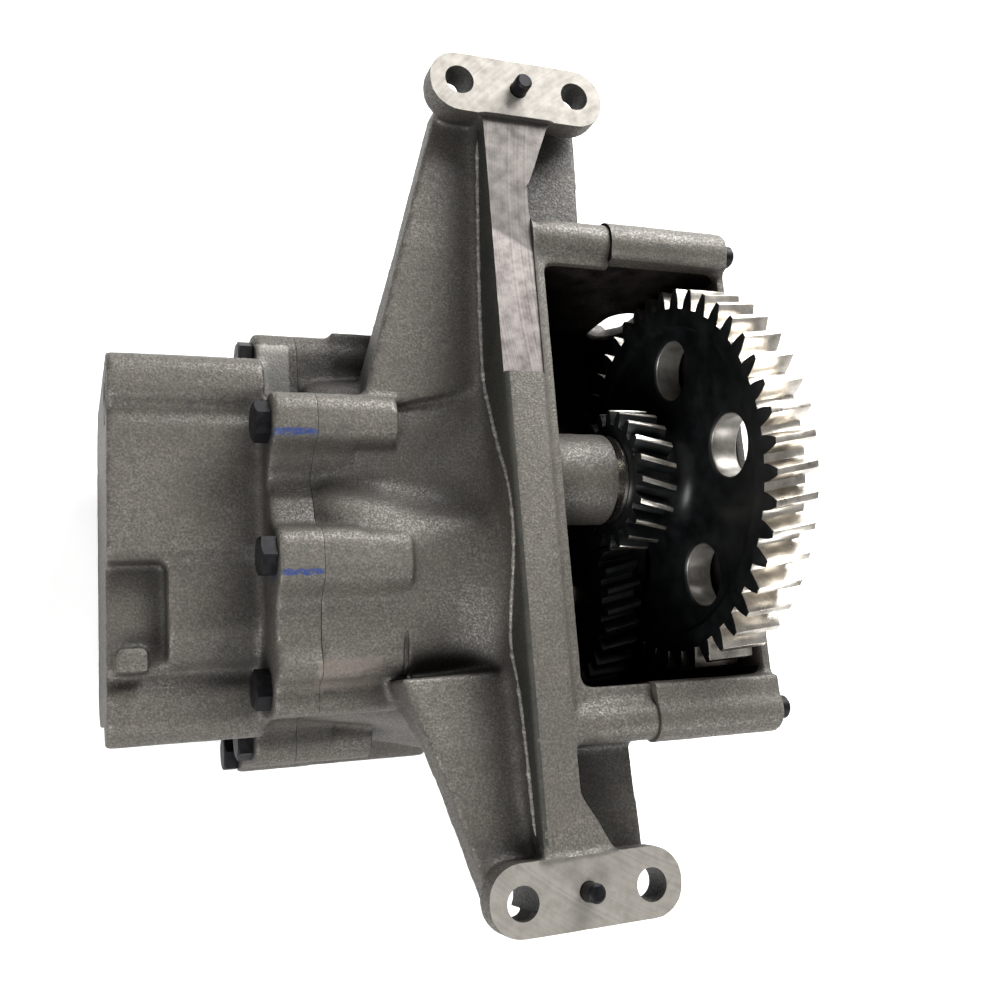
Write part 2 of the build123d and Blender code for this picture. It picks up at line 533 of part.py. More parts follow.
def driven_shaft():
    end = face_x + bush_len - 1
    return turned([(shaft_x0, 0), (shaft_x0, shaft_r - 1), (shaft_x0 + 1, shaft_r), (end - 1, shaft_r),
                   (end, shaft_r - 1), (end, 0)], *axis_c)


def rotor(axis, tooth_at):
    x0 = chamber_x + end_clear
    flat = tooth_points(rotor_teeth, rotor_m, radians(rotor_pressure), 0.12, tooth_at, 5)
    return toothed(flat, x0, x0 + rotor_len, *axis) - rod(x0 - 1, face_x + 1, *axis, shaft_r)


def washer(x0, x1, y, z, inner, outer):
    return rod(x0, x1, y, z, outer) - rod(x0 - 1, x1 + 1, y, z, inner)


def nut(x0, x1, y, z, across_flats, hole):
    return hex_head(x0, x1, y, z, across_flats, 12, False) - rod(x0 - 1, x1 + 1, y, z, hole)


def relief_piston():
    y, z = relief
    x1 = relief_seat_x
    cup = turned([(x1 - relief_len, 0), (x1 - relief_len, relief_r), (x1 - 2.5, relief_r),
                  (x1, relief_r - 2.5),
                  (x1, 0)], y, z)
    return cup - rod(x1 - relief_len - 1, x1 - 4, y, z, 5.6)


def relief_spring():
    """Coil between the plug and the floor of the hollow piston."""
    y, z = relief
    x0, x1 = plug_x + 0.7, relief_seat_x - 4.7
    line = Helix(pitch=(x1 - x0) / spring_turns, height=x1 - x0, radius=spring_r)
    tube = sweep(Plane(origin=line @ 0, z_dir=line % 0) * Circle(spring_wire_r), path=line)
    return Pos(x0, y, z) * Rot(0, 90, 0) * tube


def relief_plug():
    y, z = relief
    plug = turned([(body_x, 0), (body_x, plug_r - 0.8), (body_x + 0.8, plug_r), (plug_x, plug_r),
                   (plug_x, 0)], y, z)
    return plug - hexagon(body_x - 1, body_x + 6, y, z, 8)


def stub_axle():
    return turned([(axle_x0, 0), (axle_x0, shaft_r - 1), (axle_x0 + 1, shaft_r), (washer_x, shaft_r),
                   (washer_x, thread_r), (axle_x1 - 1, thread_r), (axle_x1, thread_r - 1),
                   (axle_x1, 0)], *axis_a)


save("frame_casting", frame_casting())
save("gear_cover", gear_cover())
save("pump_body", pump_body())
save("flange_bolts", *[flange_bolt(y, z, 17 * i) for i, (y, z) in enumerate(bolts)])
save("cover_studs", *[cover_stud(y, z) for y, z in stud_spots])
save("foot_pins", foot_pin(1), foot_pin(-1))
save("body_pins", *[rod(face_x - 8, face_x + 8, y, z, pin_r) for y, z in pin_spots])
save("cover_pins", *[rod(joint_x - 8, joint_x + 8, y, z, cover_pin_r) for y, z in cover_pins])
save("stub_axle", stub_axle())
save("axle_thrust_ring", washer(boss_a_x, train_x0 - 0.15, *axis_a, shaft_r, boss_a_r - 0.6))
save("axle_washer", washer(washer_x, washer_x + washer_thick, *axis_a, thread_r, 18))
save("axle_nut", nut(washer_x + washer_thick, axle_nut_x1, *axis_a, nut_af, thread_r))
save("shaft_bushes", *[washer(x, x + bush_len, *axis, shaft_r + run_clear, bush_r) for x, axis in (
    (chamber_x - bush_len, axis_b), (chamber_x - bush_len, axis_c), (face_x, axis_b), (face_x, axis_c),
    (boss_b_x - bush_len, axis_b))])
save("drive_wheel", drive_wheel())
save("pinion", pinion())
save("wheel_bush", washer(train_x0 + 0.6, hub_x1 - 0.2, *axis_a, shaft_r + 0.04, bush_r))
save("drive_shaft", drive_shaft())
save("shaft_gear", shaft_gear())
save("shaft_key", shaft_key())
save("shaft_washer", washer(train_x1, train_x1 + shaft_washer_thick, *axis_b, thread_r, 13))
save("shaft_nut", nut(train_x1 + shaft_washer_thick, train_x1 + shaft_washer_thick + shaft_nut_thick, *axis_b,
                      nut_af, thread_r))
save("driving_rotor", rotor(axis_b, mesh_bc))
save("driven_rotor", rotor(axis_c, mesh_bc + pi + pi / rotor_teeth))
save("driven_shaft", driven_shaft())
save("relief_piston", relief_piston())
save("relief_spring", relief_spring())
save("relief_plug", relief_plug())
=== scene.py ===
import json
import math

import bmesh
import bpy
import numpy as np
from mathutils import Matrix, Vector, noise
from mathutils.bvhtree import BVHTree


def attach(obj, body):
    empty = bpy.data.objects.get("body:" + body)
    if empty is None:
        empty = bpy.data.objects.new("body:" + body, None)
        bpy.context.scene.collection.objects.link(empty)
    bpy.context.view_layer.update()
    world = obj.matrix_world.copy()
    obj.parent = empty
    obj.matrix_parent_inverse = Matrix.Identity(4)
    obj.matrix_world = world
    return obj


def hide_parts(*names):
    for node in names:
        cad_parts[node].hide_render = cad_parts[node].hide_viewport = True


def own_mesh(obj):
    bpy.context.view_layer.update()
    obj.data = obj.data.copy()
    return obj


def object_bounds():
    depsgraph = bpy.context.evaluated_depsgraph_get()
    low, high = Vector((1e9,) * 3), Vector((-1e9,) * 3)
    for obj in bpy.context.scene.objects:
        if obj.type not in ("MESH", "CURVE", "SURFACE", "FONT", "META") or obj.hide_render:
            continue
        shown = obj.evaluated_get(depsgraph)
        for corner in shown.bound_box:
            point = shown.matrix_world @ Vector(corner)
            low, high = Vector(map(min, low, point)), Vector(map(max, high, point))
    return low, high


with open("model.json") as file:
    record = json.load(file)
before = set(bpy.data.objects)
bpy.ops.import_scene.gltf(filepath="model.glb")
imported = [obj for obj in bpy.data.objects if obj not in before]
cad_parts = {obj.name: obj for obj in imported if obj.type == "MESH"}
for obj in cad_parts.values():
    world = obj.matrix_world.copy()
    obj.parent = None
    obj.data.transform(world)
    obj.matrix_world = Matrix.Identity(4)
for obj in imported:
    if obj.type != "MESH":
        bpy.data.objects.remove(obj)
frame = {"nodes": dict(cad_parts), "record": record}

cad_box = [[float(v) for v in corner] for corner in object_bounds()]


# Frame casting
# The bracket that carries the pump: two feet, the plate between them, half of the gear box and
# the neck to the pump. Grey iron, sand cast and shot blasted, then milled where it meets other
# parts. The skin is the CAD solid as a mould leaves it, with its milled faces cut sharp again.

MM = 0.001
SKIN_GRID = 1.0 * MM
STOCK = 1.6 * MM                   # what the milling takes off
JOINT = 0.08 * MM                  # broken edge of each joint face, seen as a fine dark line
PLUG = 0.4 * MM                    # how much wider than its hole a plug is
NEAR, ON_PLANE = 1e-5, 2e-6        # a point or a face that lies on a plane, in metres
FLAT = 0.999                       # least part of a flat face's normal across its plane
feet_from, foot_y, foot_z = 118.0 * MM, 135.6 * MM, 0.0
foot_holes = [(x * MM, y * MM) for x in (-22.0, 22.0) for y in (-136.35, 136.35)]
foot_hole_r, foot_deep, foot_pin_r = 5.25 * MM, 11.4 * MM, 3.2 * MM
strip_z, strip_x1, strip_ground, strip_flare_y = -1.0 * MM, 0.5 * MM, (31.0 * MM, 124.4 * MM), 100 * MM
flange_x, box_x, port_z = -73.0 * MM, 30.0 * MM, -131.0 * MM
thread_r, thread_ends = 4.4 * MM, (-51.6 * MM, 11.6 * MM)
axle, shaft, driven = (0.0, -25.6 * MM), (-36.0 * MM, -70.73 * MM), (-4.124 * MM, -79.271 * MM)
outlet = (-32.0 * MM, -8.0 * MM)
flange_bolts = [(y * MM, z * MM) for y, z in (
    (49.5, -56), (19, -27.5), (-25.5, -25.5), (-66.5, -44), (-82.6, -85),
    (-87, -120.5), (-33, -118), (18, -118), (49.5, -98))]
cover_studs = [(y * MM, z * MM) for y in (81.7, -85.3) for z in (-5, -102)]


def link(obj):
    bpy.context.collection.objects.link(obj)
    return obj


def tube(axis, centre, r, low, high, sides=40):
    """Closed cylinder along an axis, its centre given by the two other coordinates."""
    bm = bmesh.new()
    bmesh.ops.create_cone(bm, cap_ends=True, segments=sides, radius1=r, radius2=r, depth=high - low)
    mid = (low + high) / 2
    place = (Matrix.Translation((mid, *centre)) @ Matrix.Rotation(math.pi / 2, 4, "Y")
             if axis == "x" else Matrix.Translation((*centre, mid)))
    bmesh.ops.transform(bm, matrix=place, verts=bm.verts)
    return bm


def brick(low, high):
    """Closed box between two corners."""
    bm = bmesh.new()
    bmesh.ops.create_cube(bm, size=1.0)
    size, mid = [b - a for a, b in zip(low, high)], [(a + b) / 2 for a, b in zip(low, high)]
    bmesh.ops.transform(bm, matrix=Matrix.Translation(mid) @ Matrix.Diagonal((*size, 1.0)), verts=bm.verts)
    return bm


def welded(node):
    """The node's own mesh as a bmesh, its doubled points joined."""
    bm = bmesh.new()
    bm.from_mesh(frame["nodes"][node].data)
    bmesh.ops.remove_doubles(bm, verts=bm.verts, dist=1e-6)
    return bm


def mesh_of(bm, name):
    mesh = bpy.data.meshes.new(name)
    bm.to_mesh(mesh)
    bm.free()
    return mesh


def joined(parts, name):
    """One mesh from several bmesh parts."""
    whole = bmesh.new()
    for bm in parts:
        piece = mesh_of(bm, "part")
        whole.from_mesh(piece)
        bpy.data.meshes.remove(piece)
    return mesh_of(whole, name)


def applied(obj):
    """The mesh that an object's modifiers make."""
    graph = bpy.context.evaluated_depsgraph_get()
    graph.update()
    return bpy.data.meshes.new_from_object(obj.evaluated_get(graph))


def points_of(mesh):
    co = np.empty(len(mesh.vertices) * 3)
    mesh.vertices.foreach_get("co", co)
    return co.reshape(-1, 3)


FILL_ROUNDS, EASE_ROUNDS = 36, 4
OUTER = 0.08                       # how much an outer corner wears, where an inner one fills by 1
LEAST_EASE = 0.4                   # how much even a tight corner is eased
SAND_DEEP = 0.10 * MM              # the mould's unevenness, in lumps of about 7 mm and 2.4 mm
SAND_LUMPS = ((140.0, 1.0), (420.0, 0.5))


def cast_mesh(node, add_stock, plugs, keep, fill):
    """The node's solid as cast: milling stock on, holes closed, in even squares with soft corners.

    keep is 1 where nothing moves; fill says how far an inner corner fills up, 0 to 1.
    """
    bm = welded(node)
    for v in bm.verts:
        v.co = add_stock(v.co)
    obj = link(bpy.data.objects.new("casting", joined([bm] + plugs, "casting")))
    grid = obj.modifiers.new("even", "REMESH")
    grid.mode, grid.voxel_size, grid.adaptivity = "VOXEL", SKIN_GRID, 0.0
    mesh = applied(obj)
    bpy.data.objects.remove(obj)

    co, n = points_of(mesh), len(mesh.vertices)
    edges = np.empty(len(mesh.edges) * 2, np.int64)
    mesh.edges.foreach_get("vertices", edges)
    a, b = edges.reshape(-1, 2).T
    quads = np.array([p.vertices[:] for p in mesh.polygons if len(p.vertices) == 4])
    ways = np.maximum(np.bincount(a, minlength=n) + np.bincount(b, minlength=n), 1)[:, None]
    free, rate = (1.0 - keep(co))[:, None], fill(co)[:, None]

    def pull():
        """From each point to the middle of its neighbours."""
        total = [np.bincount(a, co[b, k], n) + np.bincount(b, co[a, k], n) for k in range(3)]
        return np.stack(total, 1) / ways - co

    def outward():
        across = np.cross(co[quads[:, 2]] - co[quads[:, 0]], co[quads[:, 3]] - co[quads[:, 1]])
        out = np.zeros((n, 3))
        for corner in range(4):
            for k in range(3):
                out[:, k] += np.bincount(quads[:, corner], across[:, k], n)
        return out / np.maximum(np.linalg.norm(out, axis=1), 1e-12)[:, None]

    for turn in range(FILL_ROUNDS):
        if turn % 4 == 0:
            out = outward()
        step = pull()
        hollow = ((step * out).sum(1) > 0)[:, None]
        co += 0.5 * step * np.where(hollow, rate, OUTER) * free
    for _ in range(EASE_ROUNDS):
        co += 0.5 * pull() * free * np.clip(rate, LEAST_EASE, 1.0)
    wave = np.array([sum(part * noise.noise(Vector(p) * scale) for scale, part in SAND_LUMPS) for p in co])
    co += outward() * wave[:, None] * free * SAND_DEEP
    mesh.vertices.foreach_set("co", co.ravel())
    return mesh


def cut(mesh, name, *passes):
    """The mesh less each group of tools in turn, as an object. Tools of one pass don't overlap."""
    obj = link(bpy.data.objects.new(name, mesh))
    for tools in passes:
        tools = tools(obj.data) if callable(tools) else tools
        tool = link(bpy.data.objects.new("tool", joined(tools, "tool")))
        knife = obj.modifiers.new("cut", "BOOLEAN")
        knife.operation, knife.solver, knife.object = "DIFFERENCE", "MANIFOLD", tool
        result = applied(obj)
        obj.modifiers.clear()
        obj.data = result
        bpy.data.objects.remove(tool)
    obj.data.name = name
    obj.data.materials.clear()
    return obj


def cord(route, radius, out=Vector((0, 0, 1)), sides=10):
    """Closed bmesh tube along the route; radius gives its size at each step, out its upper side."""
    bm, rings = bmesh.new(), []
    for k, middle in enumerate(route):
        along = Vector(route[min(k + 1, len(route) - 1)] - route[max(k - 1, 0)]).normalized()
        side = along.cross(out).normalized()
        up = side.cross(along)
        rings.append([bm.verts.new(Vector(middle) + radius(k) * (math.cos(a) * side + math.sin(a) * up))
                      for a in (math.tau * j / sides for j in range(sides))])
    for one, two in zip(rings, rings[1:]):
        for j in range(sides):
            bm.faces.new((one[j], one[(j + 1) % sides], two[(j + 1) % sides], two[j]))
    for ring in (rings[0], rings[-1]):
        bm.faces.new(ring)
    bmesh.ops.recalc_face_normals(bm, faces=bm.faces)
    return bm


def tapered(r, k, count, steps):
    """A cord's radius at step k, run out to nothing over some steps at both ends."""
    return r * min(1.0, (k + 1) / steps, (count - k) / steps)


def surface_of(mesh):
    return BVHTree.FromPolygons([v.co for v in mesh.vertices], [p.vertices for p in mesh.polygons])


def crease(mesh, start, end, r, steps=14):
    """A tool that cuts a round crease into the top of the skin from one (x, y) to another."""
    skin, above = surface_of(mesh), 0.02
    spots = [Vector((*(a + (b - a) * k / steps for a, b in zip(start, end)), above))
             for k in range(steps + 1)]
    route = np.array([skin.ray_cast(spot, Vector((0, 0, -1)))[0] for spot in spots])
    return cord(route, lambda k: tapered(r, k, steps + 1, 4))


def near_line(co, axis, centre, r):
    """1 within r of a line along the axis, 0 from 1.5 mm further out."""
    u, v = (co[:, 1], co[:, 2]) if axis == "x" else (co[:, 0], co[:, 1])
    return np.clip(1.0 - (np.hypot(u - centre[0], v - centre[1]) - r) / (1.5 * MM), 0.0, 1.0)


def rise(values, low, high, a=0.0, b=1.0):
    """a up to low, b from high on, and a smooth step between."""
    t = np.clip((values - low) / (high - low), 0.0, 1.0)
    return a + (b - a) * t * t * (3 - 2 * t)


def milled(obj, *tests):
    """Gives the faces that pass a test that test's material slot, counted from 1."""
    mesh, count = obj.data, len(obj.data.polygons)
    centre, normal = np.empty(count * 3), np.empty(count * 3)
    mesh.polygons.foreach_get("center", centre)
    mesh.polygons.foreach_get("normal", normal)
    index = np.zeros(count, np.int32)
    for slot, test in enumerate(tests, 1):
        index[test(centre.reshape(-1, 3), normal.reshape(-1, 3))] = slot
    mesh.polygons.foreach_set("material_index", index)


casting_smooth = 35                # degrees


def shade(mesh, angle):
    """Smooth shading, sharp above the angle in degrees."""
    mesh.polygons.foreach_set("use_smooth", [True] * len(mesh.polygons))
    mesh.set_sharp_from_angle(angle=math.radians(angle))


def frame_stock(p):
    """A point of the solid before milling: stock on feet, strip, flange, joint and port."""
    x, y, z = p
    on_strip = abs(z - strip_z) < NEAR and (x < strip_x1 + NEAR or y > strip_flare_y)
    if (z > foot_z - NEAR and abs(y) > feet_from) or on_strip:
        z += STOCK
    if x < flange_x + NEAR:
        x -= STOCK
    if x > box_x - NEAR and abs(y) < feet_from:
        x += STOCK
    return x, y, z - STOCK if z < port_z + NEAR else z


axle_seat_r, shaft_seat_r, outlet_r = 10 * MM, 12.5 * MM, 11 * MM
axle_seat_x, driven_seat_x, outlet_z = -12 * MM, -58 * MM, -48 * MM     # how far in each one reaches


def frame_keep(co):
    """The bored seats of the axle, the two pump shafts and the outlet stay true."""
    x, z = co[:, 0], co[:, 2]
    return np.maximum.reduce([near_line(co, "x", axle, axle_seat_r) * (x > axle_seat_x),
                              near_line(co, "x", shaft, shaft_seat_r),
                              near_line(co, "x", driven, shaft_seat_r) * (x < driven_seat_x),
                              near_line(co, "z", outlet, outlet_r) * (z < outlet_z)])


def frame_fill(co):
    """Wide fillets against the plate, tight ones round the bolt lobes and in the gear box."""
    x, y, z = co.T
    lobes, box = 0.05, 0.35
    feet = rise(abs(y), 110 * MM, 116 * MM) * rise(z, -12 * MM, -8 * MM)
    return rise(x, -42 * MM, -26 * MM, lobes, 1.0) * rise(x, -8 * MM, 4 * MM, 1.0, box) * (1 - feet)


box_low, box_high = (5.4 * MM, -75.6 * MM, -0.14), (74.4 * MM, 75.6 * MM, -4.5 * MM)
axle_boss_r = 18.8 * MM


def box_faces_in_shade(c, n):
    """Faces in the gear box, apart from the axle's boss: they get near-black iron as painted shade."""
    return (np.all((c > box_low) & (c < box_high), axis=1)
            & (np.hypot(c[:, 1] - axle[0], c[:, 2] - axle[1]) > axle_boss_r))


# The flash line (y, z) as it crosses the plate's side, seen from where the photograph was taken.
eye, side_x = Vector((-0.151255, -0.079543, 0.319149)), -14.0 * MM
flash_line = [(118, -7.5), (97.5, -11.3), (77, -14.8), (52, -18.2), (34, -18.9), (23, -15.6), (10, -11.0),
              (-5, -4.6), (-19, -2.9), (-32, -5.2), (-50, -11.3), (-60, -12.6), (-73, -9.2), (-92, -7.0),
              (-118, -5.4)]
plate_x, plate_y, side_lean = (-26 * MM, -11 * MM), 121 * MM, -0.25


def plate_side_in_shade(c, n):
    """The strip of the plate's side that lies above the flash line; it gets dark iron as painted shade."""
    seen = np.array(eye) + (c - eye) * ((side_x - eye.x) / (c[:, 0] - eye.x))[:, None]
    line = np.array(flash_line[::-1]) * MM
    return ((n[:, 0] < side_lean) & (c[:, 0] > plate_x[0]) & (c[:, 0] < plate_x[1])
            & (abs(seen[:, 1]) < plate_y)
            & (seen[:, 2] > np.interp(seen[:, 1], line[:, 0], line[:, 1])))


def foot_faces(c, n):
    return (n[:, 2] > FLAT) & (abs(c[:, 2] - foot_z) < ON_PLANE)


def ground_faces(c, n):
    return (n[:, 2] > FLAT) & (abs(c[:, 2] - strip_z) < ON_PLANE) & (c[:, 1] > strip_ground[0])


def joint_faces(c, n):
    """The faces against the gear cover, the pump body and the oil pipe."""
    cover = (n[:, 0] > FLAT) & (c[:, 0] > box_x - 2 * JOINT) & (abs(c[:, 1]) < feet_from)
    body = (n[:, 0] < -FLAT) & (c[:, 0] < flange_x + 2 * JOINT)
    return cover | body | ((n[:, 2] < -FLAT) & (abs(c[:, 2] - port_z) < ON_PLANE))


plugs = [tube("z", spot, foot_hole_r + PLUG, -foot_deep, STOCK) for spot in foot_holes]
plugs += [tube("z", (0, s * foot_y), foot_pin_r + PLUG, -foot_deep, STOCK) for s in (1, -1)]
plugs += [tube("x", spot, thread_r, flange_x - STOCK, thread_ends[0]) for spot in flange_bolts]
plugs += [tube("x", spot, thread_r, thread_ends[1], box_x + STOCK) for spot in cover_studs]

# What the cutters take away. Blocks that would touch each other go in different passes.
over_feet = [brick((-0.05, y - 15.5 * MM, foot_z), (0.05, y + 15.5 * MM, 0.02))
             for y in (140.1 * MM, -140.1 * MM)]
over_strip = brick((-0.03, strip_ground[0], strip_z), (strip_x1 + 0.3 * MM, 0.11, 0.02))
over_flare = brick((-0.03, 0.10, strip_z), (0.018, strip_ground[1], 0.02))
below_port = brick((-0.09, -0.16, -0.15), (0.06, 0.16, port_z))
past_flange = brick((-0.09, -0.16, -0.14), (flange_x + JOINT, 0.16, 0.02))
past_box = brick((box_x - JOINT, -0.112, -0.14), (0.05, 0.112, 0.03))
foot_drills = [tube("z", spot, foot_hole_r, -0.03, 0.01) for spot in foot_holes]
lobe_crease = (-44.8 * MM, -51 * MM), (-46.2 * MM, -65 * MM), 1.0 * MM

frame_skin = cut(cast_mesh("frame_casting", frame_stock, plugs, frame_keep, frame_fill), "frame_casting_skin",
                 over_feet + [over_strip, below_port],
                 [past_flange, past_box, over_flare] + foot_drills,
                 lambda mesh: [crease(mesh, *lobe_crease)])
# Slots 4 and 5 are painted shade: near-black iron inside the gear box and dark iron on the plate's side.
milled(frame_skin, foot_faces, ground_faces, joint_faces, box_faces_in_shade, plate_side_in_shade)
shade(frame_skin.data, casting_smooth)


def colour(text):
    """Linear colour of an sRGB hex value."""
    parts = [int(text[i:i + 2], 16) / 255 for i in (1, 3, 5)]
    return (*[c / 12.92 if c <= 0.04045 else ((c + 0.055) / 1.055) ** 2.4 for c in parts], 1.0)


def fill_in(tree, node, sockets):
    """Sets each of the node's sockets, or links it where the value comes from another node."""
    for key, value in sockets.items():
        value = value.outputs[0] if isinstance(value, bpy.types.Node) else value
        if isinstance(value, bpy.types.NodeSocket):
            tree.links.new(value, node.inputs[key])
        else:
            node.inputs[key].default_value = value


def add(tree, kind, sockets=(), stops=(), **settings):
    """Adds a node with its settings and links; stops are a colour ramp's places and tones."""
    node = tree.nodes.new("ShaderNode" + kind)
    for key, value in settings.items():
        setattr(node, key, value)
    fill_in(tree, node, dict(sockets))
    while stops and len(node.color_ramp.elements) < len(stops):
        node.color_ramp.elements.new(0.5)
    for k, (at, tone) in enumerate(stops):
        node.color_ramp.elements[k].position = at
        node.color_ramp.elements[k].color = (
            colour(tone) if isinstance(tone, str) else (tone, tone, tone, 1.0))
    return node


def material(name):
    """A new material, its tree, its principled shader and its object coordinates in metres."""
    mat = bpy.data.materials.new(name)
    mat.use_nodes = True
    tree = mat.node_tree
    return mat, tree, tree.nodes["Principled BSDF"], add(tree, "TexCoord").outputs["Object"]


def grain(tree, place, size_mm, detail=2.0, rough=0.5, squeeze=(1, 1, 1)):
    """Noise in lumps about size_mm across, as many times narrower as squeeze says."""
    at = add(tree, "VectorMath", {0: place, 1: squeeze}, operation="MULTIPLY")
    return add(tree, "TexNoise", {"Vector": at, "Scale": 1000.0 / size_mm, "Detail": detail,
                                  "Roughness": rough})


def blend(tree, a, b, share):
    """The share of a and the rest of b."""
    rest = add(tree, "Math", {0: b, 1: 1.0 - share}, operation="MULTIPLY")
    return add(tree, "Math", {0: a, 1: share, 2: rest}, operation="MULTIPLY_ADD")


def overlap(tree, first, *masks):
    """The masks multiplied: 1 where all are 1."""
    for mask in masks:
        first = add(tree, "Math", {0: first, 1: mask}, operation="MULTIPLY")
    return first


def band(tree, value, low, high, soft):
    """1 while value lies between low and high, soft at both ends."""
    return overlap(tree, *[add(tree, "MapRange", {"Value": value, "From Min": a, "From Max": b},
                               interpolation_type="SMOOTHSTEP")
                           for a, b in ((low - soft, low), (high + soft, high))])


def layered(tree, tone, *layers):
    """The tone under its layers, each a mask and what shows where the mask is 1."""
    for mask, over in layers:
        over = colour(over) if isinstance(over, str) else over
        tone = add(tree, "Mix", {0: mask, 6: tone, 7: over}, data_type="RGBA").outputs[2]
    return tone


# Where the brush crossed the joint, in mm: across the two strokes, along them, and in depth.
strokes, stroke_x, stroke_z = ((13.3, 14.7), (-32.5, -31.2)), (-86.5, -74.0), (-34.0, -10.0)
brush_ragged = 2.4 * MM


def paint_marks(tree, place):
    """The fitter's two blue marks across the joint, dabbed on with a brush: where they lie."""
    x, y, z = add(tree, "SeparateXYZ", {0: place}).outputs
    ragged = add(tree, "Math", {0: grain(tree, place, 2.2, 3.0, 0.7), 1: brush_ragged, 2: -brush_ragged / 2},
                 operation="MULTIPLY_ADD")
    across = add(tree, "Math", {0: y, 1: ragged}, operation="ADD")
    along = add(tree, "Math", {0: ragged, 1: 3.0, 2: x}, operation="MULTIPLY_ADD")
    first, second = (band(tree, across, a * MM, b * MM, 0.5 * MM) for a, b in strokes)
    either = add(tree, "Math", {0: first, 1: second}, operation="MAXIMUM")
    near = [band(tree, value, a * MM, b * MM, 1.0 * MM)
            for value, (a, b) in ((along, stroke_x), (z, stroke_z))]
    thin = add(tree, "ValToRGB", {0: grain(tree, place, 1.1)}, ((0.35, 0.40), (0.60, 0.92)))
    return overlap(tree, either, *near, thin)


# Spots dressed with a file or grinder: low corner, high corner, softness in mm, colour, strength.
dressed_spots = [((-89.0, 35.5, -60.0), (-75.4, 53.5, -40.0), 0.6, "#a8a59f", 0.8),
                 ((-71.0, -64.5, -50.0), (-51.5, -57.0, -10.0), 2.0, "#8c7f77", 0.35)]


def cast_iron(name="cast_iron_shot_blasted", tones=("#43413d", "#5b5852", "#7c776f"), marked=True, shine=0.5,
              corner_shade_share=1.0):
    """Grey iron from a sand mould, shot blasted: dull warm grey, every dent a small glint.

    The dents of the shot are about 0.3 mm wide, drawn at 0.75 mm so that they show.
    Corners, creases and recesses are darkened towards near black by ambient occlusion as painted shade,
    scaled by the last argument.
    """
    mat, tree, surface, place = material(name)
    fine, lump, cloud, rust = (grain(tree, place, size, 3.0, 0.6) for size in (0.75, 2.2, 16.0, 9.0))
    tone = add(tree, "ValToRGB", {0: blend(tree, fine, lump, 0.82)}, tuple(zip((0.34, 0.50, 0.66), tones)))
    layers = [(add(tree, "ValToRGB", {0: cloud}, ((0.40, 0.0), (0.62, 0.30))), "#4e4b47"),
              (add(tree, "ValToRGB", {0: rust}, ((0.42, 0.10), (0.58, 0.0))), "#6a5c50")]
    if marked:
        layers.append((paint_marks(tree, place), "#1d3877"))
        for low, high, soft, tint, amount in dressed_spots:
            uneven = [add(tree, "Math", {0: lump, 1: 3 * soft * MM, 2: value}, operation="MULTIPLY_ADD")
                      for value in add(tree, "SeparateXYZ", {0: place}).outputs]
            spot = overlap(tree, *[band(tree, value, a * MM, b * MM, soft * MM)
                                   for value, a, b in zip(uneven, low, high)], amount)
            layers.append((spot, tint))
    # Painted shade: ambient occlusion darkens the iron in corners, creases and recesses.
    corners = add(tree, "AmbientOcclusion", {"Distance": 35 * MM}, samples=8)
    painted_corner_shade = add(tree, "ValToRGB", {0: corners}, ((0.30, 0.80), (0.72, 0.50), (0.97, 0.0)))
    layers.append((overlap(tree, painted_corner_shade, corner_shade_share), "#0a0a08"))
    dents = add(tree, "Bump", {"Height": grain(tree, place, 0.8, 2.0, 0.6), "Distance": 0.18 * MM,
                               "Strength": 0.7})
    fill_in(tree, surface, {
        "Base Color": layered(tree, tone, *layers), "Metallic": 0.25, "Specular IOR Level": shine,
        "Roughness": add(tree, "ValToRGB", {0: fine}, ((0.35, 0.66), (0.65, 0.44))),
        "Normal": add(tree, "Bump", {"Height": grain(tree, place, 3.2), "Distance": 0.22 * MM,
                                     "Strength": 0.5, "Normal": dents})})
    return mat


def away_from(tree, place, centre, mask=(1.0, 1.0, 0.0)):
    """Distance from a point, in the directions that the mask keeps."""
    away = add(tree, "VectorMath", {0: place, 1: centre}, operation="SUBTRACT")
    flat = add(tree, "VectorMath", {0: away, 1: mask}, operation="MULTIPLY")
    return add(tree, "VectorMath", {0: flat}, operation="LENGTH").outputs["Value"]


def milled_iron(name, light, dark, centre, pitch, rough=(0.50, 0.34), dull_from=None, metallic=0.85):
    """Grey iron under a face mill: bright metal with the cutter's uneven arcs about a centre.

    The cutter leaves a line every 0.2 mm or so, drawn at the pitch in mm so that it shows. From
    dull_from on, along y, the face was ground lightly and is duller.
    """
    mat, tree, surface, place = material(name)
    sweep = add(tree, "Math", {0: away_from(tree, place, centre), 1: 1000.0 / pitch}, operation="MULTIPLY")
    arc = add(tree, "TexNoise", {"W": sweep, "Scale": 1.0, "Detail": 3.0, "Roughness": 0.7},
              noise_dimensions="1D")
    blotch = grain(tree, place, 5.0, 4.0, 0.65)
    tone = add(tree, "ValToRGB", {0: blend(tree, arc, blotch, 0.35)}, ((0.36, dark), (0.60, light)))
    if dull_from is not None:
        x, y, z = add(tree, "SeparateXYZ", {0: place}).outputs
        wavy = add(tree, "Math", {0: blotch, 1: 6 * MM, 2: y}, operation="MULTIPLY_ADD")
        edge = add(tree, "Math", {0: x, 1: 0.5, 2: wavy}, operation="MULTIPLY_ADD")
        dull = overlap(tree, band(tree, edge, dull_from, 1.0, 1.5 * MM), 0.6)
        tone = layered(tree, tone, (dull, "#3a3835"))
    height = add(tree, "Math", {0: arc, 1: 0.7, 2: grain(tree, place, 0.6)}, operation="MULTIPLY_ADD")
    fill_in(tree, surface, {
        "Base Color": tone, "Metallic": metallic,
        "Roughness": add(tree, "ValToRGB", {0: blotch}, ((0.3, rough[0]), (0.7, rough[1]))),
        "Normal": add(tree, "Bump", {"Height": height, "Distance": 0.02 * MM, "Strength": 0.5})})
    return mat


